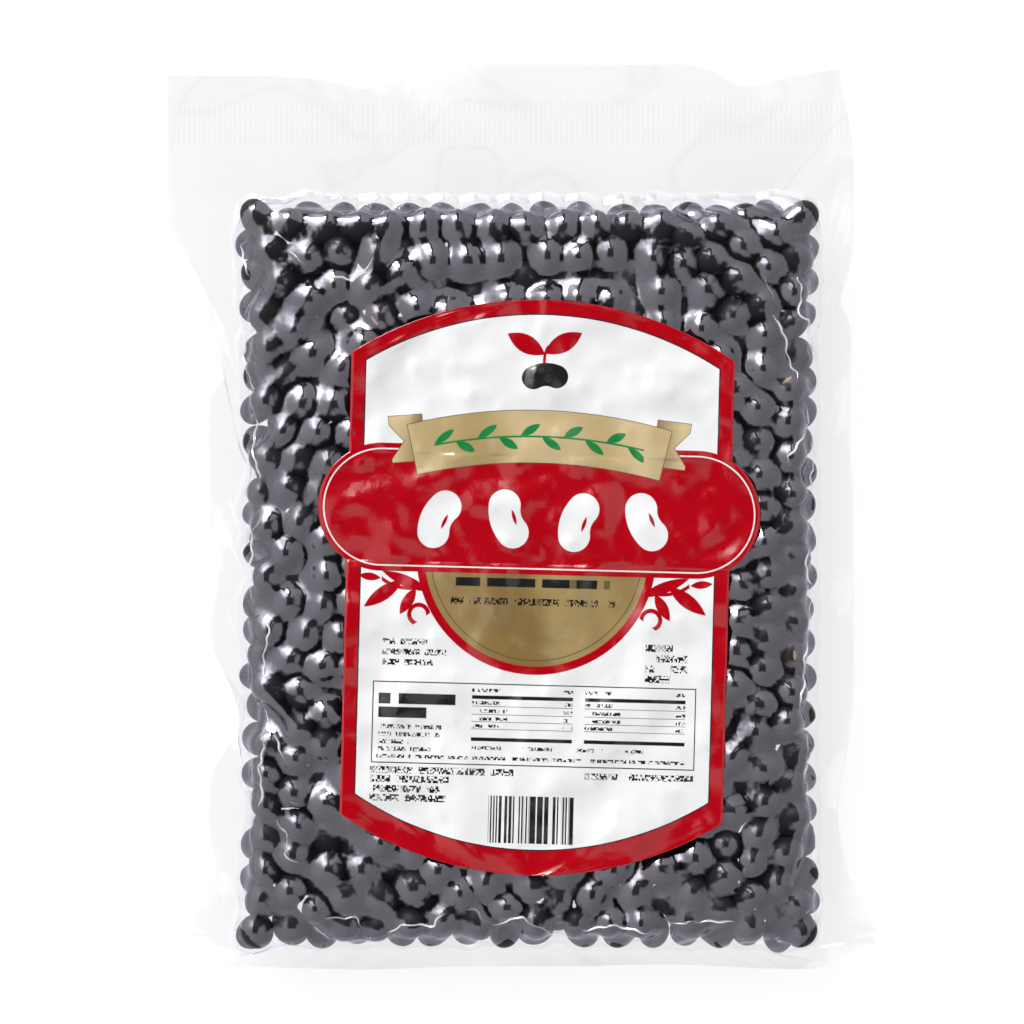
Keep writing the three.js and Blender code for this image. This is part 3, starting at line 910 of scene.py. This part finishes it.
def beanTree(material):
    tree = bpy.data.node_groups.new("beans on points", "GeometryNodeTree")
    for name, kind in (("Points", "Geometry"), ("Roundness", "Int"), ("Dent", "Float"), ("Seed", "Int")):
        tree.interface.new_socket(name, in_out="INPUT", socket_type="NodeSocket" + kind)
    tree.interface.new_socket("Beans", in_out="OUTPUT", socket_type="NodeSocketGeometry")
    start = Wire(tree)
    points = start.add("NodeGroupInput")
    roundness, dent, seed = [Wire(tree, points.socket.node.outputs[k]) for k in (1, 2, 3)]
    ball = start.add("GeometryNodeMeshIcoSphere", None, {"Radius": 1.0, "Subdivisions": roundness})
    at = start.add("GeometryNodeInputPosition")
    ball = start.add(
        "GeometryNodeStoreNamedAttribute", {"data_type": "FLOAT_VECTOR", "domain": "POINT"},
        {"Geometry": ball, "Name": "skin", "Value": at},
    )
    y = start.add("ShaderNodeSeparateXYZ", None, {0: at}, output=1)
    side = start.add("ShaderNodeMapRange", {"interpolation_type": "SMOOTHSTEP"}, {
        "Value": y, "From Min": -0.75, "From Max": -1.0,
    })
    inward = start.add("ShaderNodeCombineXYZ", None, {"Y": side * dent})
    ball = start.add("GeometryNodeSetPosition", None, {"Geometry": ball, "Offset": inward})
    ball = start.add("GeometryNodeSetShadeSmooth", None, {"Geometry": ball})
    turn = start.add("GeometryNodeInputNamedAttribute", {"data_type": "FLOAT_VECTOR"}, {"Name": "turn"})
    turn = start.add("FunctionNodeEulerToRotation", None, {0: turn})
    half = start.add("GeometryNodeInputNamedAttribute", {"data_type": "FLOAT_VECTOR"}, {"Name": "half"})
    beans = start.add("GeometryNodeInstanceOnPoints", None, {
        "Points": points, "Instance": ball, "Rotation": turn, "Scale": half,
    })
    shade = start.add("FunctionNodeRandomValue", {"data_type": "FLOAT"}, {"Seed": seed}, output=1)
    beans = start.add(
        "GeometryNodeStoreNamedAttribute", {"data_type": "FLOAT", "domain": "INSTANCE"},
        {"Geometry": beans, "Name": "shade", "Value": shade},
    )
    beans = start.add("GeometryNodeRealizeInstances", None, {0: beans})
    beans = start.add("GeometryNodeSetMaterial", None, {"Geometry": beans, "Material": material})
    start.add("NodeGroupOutput", None, {0: beans})
    return tree


def beanPiece(name, tree, chosen, roundness):
    mesh = bpy.data.meshes.new(name + "_points")
    mesh.from_pydata((beanPlace[chosen] * millimetre).tolist(), [], [])
    for kind, values in (("turn", beanAngles[chosen]), ("half", beanHalf[chosen] * millimetre)):
        attribute = mesh.attributes.new(kind, "FLOAT_VECTOR", "POINT")
        attribute.data.foreach_set("vector", values.astype(np.float32).ravel())
    piece = addObject(name, mesh)
    modifier = piece.modifiers.new("beans", "NODES")
    modifier.node_group = tree
    inputs = {"Roundness": roundness, "Dent": beanShape["dent"], "Seed": beanShape["shadeSeed"]}
    for socket in tree.interface.items_tree:
        if socket.in_out == "INPUT" and socket.name in inputs:
            modifier[socket.identifier] = inputs[socket.name]
    view = bpy.context.evaluated_depsgraph_get()
    made = bpy.data.meshes.new_from_object(piece.evaluated_get(view))
    piece.modifiers.remove(modifier)
    piece.data = made
    made.name = name
    return piece


print("beans: making them")
skinMaterial = beanMaterial()
tree = beanTree(skinMaterial)
depth = np.minimum(beanPlace[:, 2], pack["thick"] - beanPlace[:, 2])
offX = halfSpan(pack["wide"], 0, pack["tall"], beanPlace[:, 2]) - np.abs(beanPlace[:, 0] - pack["centreX"])
offY = halfSpan(pack["tall"], 0, pack["wide"], beanPlace[:, 2]) - np.abs(beanPlace[:, 1] - pack["centreY"])
depth = np.minimum(depth, np.minimum(offX, offY))
outside = depth < beanShape["outerDepth"]
isFront = beanPlace[:, 2] > middle
beanPieces = [
    beanPiece("beans_front", tree, outside & isFront, 3),
    beanPiece("beans_back", tree, outside & ~isFront, 3),
    beanPiece("beans_core", tree, ~outside, 2),
]
for piece in beanPieces:
    print(piece.name, len(piece.data.vertices), len(piece.data.polygons))

filmSkin = filmMaterial("clear film", False)
for piece in (filmFront, filmBack):
    piece.data.materials.append(filmSkin)
filmFolds.data.materials.append(filmMaterial("folded film with painted glint", True))

# The label's print, in millimetres from its middle: plain shapes and bars
ink = {
    "white": (0.735, 0.738, 0.745, 1),
    "red": (0.37, 0.0006, 0.006, 1),
    "gold": (0.36, 0.27, 0.12, 1),
    "paleGold": (0.56, 0.43, 0.24, 1),
    "darkGold": (0.2, 0.13, 0.045, 1),
    "goldEdge": (0.09, 0.06, 0.03, 1),
    "black": (0.012, 0.011, 0.012, 1),
    "green": (0.01, 0.19, 0.045, 1),
    "border": 3.25,
    "lowBorder": 5.7,       # along the lower edge
    "rule": 0.3,            # dark line inside the border
    "roundX": -0.4,         # the round gold field
    "roundY": 7.6,
    "roundRadius": 27.9,
    "ring": 1.9,
    "ribbonX": -0.4,
    "ribbonTop": 41.2,
    "ribbonLow": 29.1,
    "ribbonBow": 115.0,     # radius of its curve
    "ribbonHalfWide": 28.1,  # at its lower edge
    "speck": 0.34,
}


def box(x, y, left, right, low, high):
    wide = abs(x - (left + right) / 2) - (right - left) / 2
    tall = abs(y - (low + high) / 2) - (high - low) / 2
    return wide.largest(tall)


def disc(x, y, centreX, centreY, radius):
    return ((x - centreX) ** 2 + (y - centreY) ** 2).root() - radius


def capsule(x, y, middleY, halfWide, halfTall):
    off = (abs(x) - (halfWide - halfTall)).largest(0)
    return (off ** 2 + (y - middleY) ** 2).root() - halfTall


def turned(x, y, centreX, centreY, degrees):
    cos, sin = math.cos(math.radians(degrees)), math.sin(math.radians(degrees))
    offX, offY = x - centreX, y - centreY
    return offX * cos + offY * sin, offY * cos - offX * sin


def leaf(x, y, centreX, centreY, degrees, halfLong, halfWide):
    along, off = turned(x, y, centreX, centreY, degrees)
    return abs(off) + along ** 2 * (halfWide / halfLong ** 2) - halfWide


def beanForm(x, y, centreX, centreY, degrees, halfLong, halfThick):  # a bow with round ends
    along, off = turned(x, y, centreX, centreY, degrees)
    along = abs(along)
    bow = halfLong * 1.15
    endX = halfLong - halfThick
    endY = (bow ** 2 - endX ** 2) ** 0.5 - bow
    off = off + bow
    body = abs((along ** 2 + off ** 2).root() - bow) - halfThick
    past = along * ((endY + bow) / bow) - off * (endX / bow)
    return body.largest(past).least(disc(along, off, endX, endY + bow, halfThick))


def beanEye(x, y, centreX, centreY, degrees, off, halfLong):  # a short line on the hollow side
    angle = math.radians(degrees)
    eyeX, eyeY = centreX + off * math.sin(angle), centreY - off * math.cos(angle)
    return leaf(x, y, eyeX, eyeY, degrees, halfLong, 0.42)


def speckle(x, y):  # a fine random pattern of dark cells
    across, up = x * (1 / ink["speck"]), y * (0.8 / ink["speck"])
    cell = x.add("ShaderNodeCombineXYZ", None, {"X": across.floor(), "Y": up.floor()})
    chance = x.add("ShaderNodeTexWhiteNoise", {"noise_dimensions": "2D"}, {"Vector": cell})
    return 0.44 - chance


def barRow(x, y, left, right, middleY, tall, pitch, seed):  # a row of short bars with gaps
    chance = (x * (1 / pitch) + seed).chance()
    row = box(x, y, left, right, middleY - tall / 2, middleY + tall / 2)
    return row.largest(0.16 - chance)


def labelPrint():
    material, start = newMaterial("label print")
    place = start.add("ShaderNodeTexCoord", output=3)
    place = start.add("ShaderNodeMapping", {"vector_type": "TEXTURE"}, {
        "Vector": place,
        "Location": (label["centreX"] * millimetre, label["centreY"] * millimetre, 0),
        "Rotation": (0, 0, label["turn"]),
        "Scale": (millimetre, millimetre, millimetre),
    })
    x, y, _ = place.parts()

    # White field in a red border with a thin dark line
    arch = (x ** 2 + (abs(y) + (archRadius - label["halfTall"])) ** 2).root() - archRadius
    wider = (y * -1).least(ink["lowBorder"] - ink["border"]).largest(0)
    field = (abs(x) - label["halfWide"]).largest(arch + wider)
    colour = ink["red"]

    def layer(shape, over):
        nonlocal colour
        colour = mixColour(fill(shape), colour, over)

    layer(field + ink["border"], ink["black"])
    layer(field + ink["border"] + ink["rule"], ink["white"])

    # Leaf sprigs and tendrils on both sides of the round gold field
    mirror = abs(x - ink["roundX"])
    sprig = leaf(mirror, y, 30.0, 0.7, 22, 6.2, 1.3)
    for centreX, centreY, degrees, halfLong, halfWide in (
        (35.3, -2.2, -36, 5.6, 1.6), (29.6, -3.9, -60, 3.6, 1.3), (38.6, 1.6, 6, 2.6, 0.9),
    ):
        sprig = sprig.least(leaf(mirror, y, centreX, centreY, degrees, halfLong, halfWide))
    curl = abs(disc(mirror, y, 27.0, -6.9, 2.2)) - 0.5
    curl = curl.largest(28.2 - mirror - (y + 6.9) * 1.4 - 3.4)
    stem = abs(disc(mirror, y, 29.5, 9.5, 10.4)) - 0.42
    stem = stem.largest(box(mirror, y, 25.0, 35.8, -3.0, 4.0))
    sprig = sprig.least(stem).least(curl)
    layer(sprig, ink["red"])

    # Round gold field with a red ring
    ring = disc(x, y, ink["roundX"], ink["roundY"], ink["roundRadius"])
    layer(ring, ink["red"])
    sheen = start.add("ShaderNodeTexNoise", {"noise_dimensions": "1D"}, {
        "W": x * 0.05 + y * 0.012, "Scale": 1.0, "Detail": 1.5,
    })
    roundGold = mixColour(sheen * 2.2 - 0.75, ink["darkGold"], ink["gold"])
    ribbonGold = mixColour(sheen * 2.6 - 0.85, ink["gold"], ink["paleGold"])
    layer(ring + ink["ring"], roundGold)
    layer(abs(ring + 3.3) - 0.1, ink["goldEdge"])

    # Rounded red band with a thin white line
    band = capsule(x, y, label["bandMiddle"], label["bandHalfWide"], label["bandHalfTall"])
    layer(band, ink["red"])
    layer(abs(band + 1.35) - 0.17, ink["white"])

    # Gold ribbon, its ends folded behind it
    side = abs(x - ink["ribbonX"])
    level = y + side ** 2 * (0.5 / ink["ribbonBow"])
    ribbonMiddle = (ink["ribbonTop"] + ink["ribbonLow"]) / 2
    ribbonTall = (ink["ribbonTop"] - ink["ribbonLow"]) / 2
    end = (abs(side - 31.0 - (y - 36) * 0.12) - 3.9).largest(abs(y - 37.0 + side * 0.1) - 5.4)
    notch = 3.2 - abs(y - 36.4 + side * 0.1) * 0.8 - (34.9 + (y - 36) * 0.12 - side)
    end = end.largest(notch * 0.7)
    layer(end - 0.14, ink["goldEdge"])
    layer(end, mixColour((side - 27.0) * 0.16, ink["darkGold"], ink["paleGold"]))
    ribbon = (side - ink["ribbonHalfWide"] - (level - ink["ribbonLow"]) * 0.22).largest(
        abs(level - ribbonMiddle) - ribbonTall
    )
    layer(ribbon - 0.16, ink["goldEdge"])
    layer(ribbon, ribbonGold)

    # A green vine on the ribbon
    pitch = 5.0
    cell = (x - ink["ribbonX"]) / pitch
    inCell = cell.maths("FRACT") - 0.5
    flip = (cell * 0.5).maths("FRACT").maths("GREATER_THAN", 0.5) * 2 - 1
    vineX, vineY = inCell * pitch, (level - ribbonMiddle) * flip
    vine = leaf(vineX, vineY, 0.4, 1.5, 32, 2.7, 0.95)
    vine = vine.least(abs(level - ribbonMiddle) - 0.22).largest(side - 24.4)
    layer(vine, ink["green"])

    # Four white beans on the band
    for centreX, degrees in ((-23.8, 66), (-7.7, 108), (8.6, 72), (24.4, 114)):
        bean = beanForm(x, y, centreX, 15.6, degrees, 7.0, 3.7)
        eye = beanEye(x, y, centreX, 15.6, degrees, 2.0, 1.9)
        layer(bean, ink["white"])
        layer(eye, ink["red"])

    # A sprouting bean at the top
    sprout = leaf(x, y, -4.0, 56.6, 152, 5.0, 2.1).least(leaf(x, y, 4.6, 57.0, 30, 5.0, 2.1))
    stem = abs(disc(x, y, 6.3, 53.0, 6.0)) - 0.35
    sprout = sprout.least(stem.largest(box(x, y, -1.0, 2.0, 50.0, 56.4)))
    layer(sprout, ink["red"])
    layer(beanForm(x, y, 0.5, 49.6, 4, 5.4, 2.7), ink["black"])

    # Bars: heavy ones, then fine ones
    dark = barRow(x, y, -19.0, 16.9, 1.0, 2.0, 1.6, 3.3)
    for row in ((-36.2, -18.3, -26.6, 2.5, 1.9, 0.6), (-36.2, -25.0, -29.8, 2.5, 1.9, 4.9)):
        dark = dark.least(barRow(x, y, *row))
    fine = barRow(x, y, -20.0, 18.2, -3.4, 1.6, 1.3, 8.1)
    rows = [
        (-35.6, -25.2, -13.3, 1.4, 1.2, 1.2), (-35.6, -20.8, -15.7, 1.4, 1.2, 5.5),
        (-35.6, -23.6, -18.1, 1.4, 1.2, 9.4),
        (25.6, 33.4, -13.4, 1.7, 1.9, 2.2), (25.6, 35.4, -15.8, 1.7, 1.9, 6.2),
        (25.6, 35.4, -18.2, 1.7, 1.9, 4.4), (25.6, 31.4, -20.6, 1.7, 1.9, 7.7),
        (-37.8, -4.4, -43.2, 1.6, 1.4, 2.9), (-37.8, -19.4, -45.3, 1.6, 1.4, 6.6),
        (-37.8, -21.4, -47.6, 1.6, 1.4, 1.4), (-37.8, -20.0, -49.7, 1.6, 1.4, 5.1),
        (12.1, 37.4, -43.6, 1.5, 1.3, 3.7),
        (-36.1, -21.4, -33.1, 1.0, 1.0, 2.5), (-36.1, -21.8, -34.9, 1.0, 1.0, 7.1),
        (-36.1, -29.0, -36.6, 1.0, 1.0, 4.2), (-36.1, -23.8, -38.3, 1.0, 1.0, 3.6),
        (-36.4, 35.2, -40.0, 0.8, 1.1, 8.8),
        (-14.3, -7.4, -37.6, 0.8, 0.9, 1.9), (-2.3, 4.8, -37.6, 0.8, 0.9, 5.4),
        (10.2, 16.6, -37.6, 0.8, 0.9, 3.3), (21.4, 25.6, -37.6, 0.8, 0.9, 6.8),
    ]
    for row in rows:
        fine = fine.least(barRow(x, y, *row))

    # The empty table
    rules = abs(box(x, y, -37.5, 37.5, -41.5, -22.7)) - 0.13
    for left, right in ((-14.5, 9.0), (11.8, 35.2)):
        for middleY, tall in (
            (-25.8, 0.85), (-35.6, 0.85), (-27.9, 0.13), (-29.8, 0.13), (-31.5, 0.13), (-33.2, 0.13),
        ):
            rules = rules.least(box(x, y, left, right, middleY - tall / 2, middleY + tall / 2))
        for n, middleY in enumerate((-24.2, -27.1, -29.0, -30.8, -32.5)):
            inset = left + (1.8 if n in (2, 3) else 0)
            fine = fine.least(barRow(x, y, inset, inset + 6.5, middleY, 0.8, 0.8, 2.3 * n + 0.4))
            fine = fine.least(barRow(x, y, right - 2.2, right, middleY, 0.8, 0.8, 1.3 * n + 5.2))
    dark = dark.least(rules).least(fine.largest(speckle(x, y)))

    # A block of upright stripes
    chance = (x * (1 / 0.33)).chance()
    dark = dark.least(box(x, y, -10.0, 9.8, -59.6, -48.6).largest(0.46 - chance))
    layer(dark, ink["black"])

    grain = place.noise(0.4, 3.0)
    ripple = place.noise(0.07, 1.0)
    bumped = start.add("ShaderNodeBump", None, {
        "Strength": 1.0, "Distance": 0.001, "Height": grain * 0.1 + ripple * 5,
    })
    paper = start.add("ShaderNodeBsdfPrincipled", None, {
        "Base Color": colour, "Roughness": 0.1 + grain * 0.08, "Normal": bumped,
    })
    start.add("ShaderNodeOutputMaterial", None, {"Surface": paper})
    return material


print("label: its print")
labelSheet.data.materials.append(labelPrint())

# Stage, lights and camera, in metres
studio = {
    "floorColours": ((0.19, 0.19, 0.19, 1), (0.21, 0.21, 0.21, 1)),
    "floorGlow": 0.82,
    "sky": 1.09,            # how bright it is straight above the bag
    "skyUp": 0.22,          # how much brighter it gets towards the bag's upper end
    "skyRight": -0.26,
    "gapX": 0.02,           # a dark gap in it that the film over the beans mirrors
    "gapY": 0.08,
    "gapColour": 0.03,
    "spot": 7.0,
    "spotPlace": (-0.36, 0.62),
    "keyPlace": (-0.3, 0.8, 0.5),
    "keySize": (0.45, 0.32),
    "keyPower": 11,
    "cameraPlace": (-0.00296, 0.0007, 0.6865),
    "lens": 100,
}


def floorPiece(half=3):
    mesh = bpy.data.meshes.new("floor")
    corners = [(-half, -half, 0), (half, -half, 0), (half, half, 0), (-half, half, 0)]
    mesh.from_pydata(corners, [], [(0, 1, 2, 3)])
    material, start = newMaterial("white floor")
    place = start.add("ShaderNodeTexCoord", output=3)
    white = start.add("ShaderNodeBsdfPrincipled", None, {
        "Base Color": mixColour(place.noise(40.0, 2.0), *studio["floorColours"]),
        "Roughness": 0.9, "Specular IOR Level": 0.0,
        "Emission Color": (1, 1, 1, 1), "Emission Strength": studio["floorGlow"],
    })
    start.add("ShaderNodeOutputMaterial", None, {"Surface": white})
    mesh.materials.append(material)
    return addObject("floor", mesh)


def makeSky():
    world = bpy.data.worlds.new("studio")
    bpy.context.scene.world = world
    world.use_nodes = True
    world.node_tree.nodes.clear()
    start = Wire(world.node_tree)
    x, y, up = start.add("ShaderNodeTexCoord").parts()
    below = up.maths("LESS_THAN", 0) * 2
    gap = (abs(x - studio["gapX"]) * 1.25).largest(abs(y - studio["gapY"]) * 1.1)
    gap = gap.least((abs(x) * 5).largest(0.3 - y)) + below
    opening = start.add("ShaderNodeMapRange", {"interpolation_type": "SMOOTHSTEP"}, {
        "Value": gap, "From Min": 0.56, "From Max": 0.3,
    })
    dark = studio["gapColour"]
    slope = (y * studio["skyUp"] + x * studio["skyRight"] + studio["sky"]).largest(0.3)
    spotX, spotY = studio["spotPlace"]
    spot = (((x - spotX) ** 2 + (y - spotY) ** 2) * -14).maths("EXPONENT")
    glow = start.add("ShaderNodeBackground", None, {
        "Color": mixColour(opening, (1, 1, 1, 1), (dark, dark, dark, 1)),
        "Strength": slope + studio["spot"] * spot * up.maths("GREATER_THAN", 0),
    })
    start.add("ShaderNodeOutputWorld", None, {"Surface": glow})


def addKeyLight():
    data = bpy.data.lights.new("key", "AREA")
    data.shape = "RECTANGLE"
    data.size, data.size_y = studio["keySize"]
    data.energy = studio["keyPower"]
    light = addObject("key", data)
    light.location = studio["keyPlace"]
    light.rotation_euler = (-light.location).to_track_quat("-Z", "Y").to_euler()
    light.visible_camera = False
    light.visible_diffuse = False


def addCamera():
    data = bpy.data.cameras.new("camera")
    data.lens = studio["lens"]
    data.sensor_width = 36
    camera = addObject("camera", data)
    camera.location = studio["cameraPlace"]
    bpy.context.scene.camera = camera


print("studio: floor, light and camera")
floorPiece()
makeSky()
addKeyLight()
addCamera()
bpy.context.scene.view_settings.view_transform = "Standard"

for piece in beanPieces:
    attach(piece, "root")
    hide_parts("bag")
for piece in (filmFront, filmBack, filmFolds):
    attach(piece, "root")
    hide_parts("bag")

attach(labelSheet, "root")
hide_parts("label")
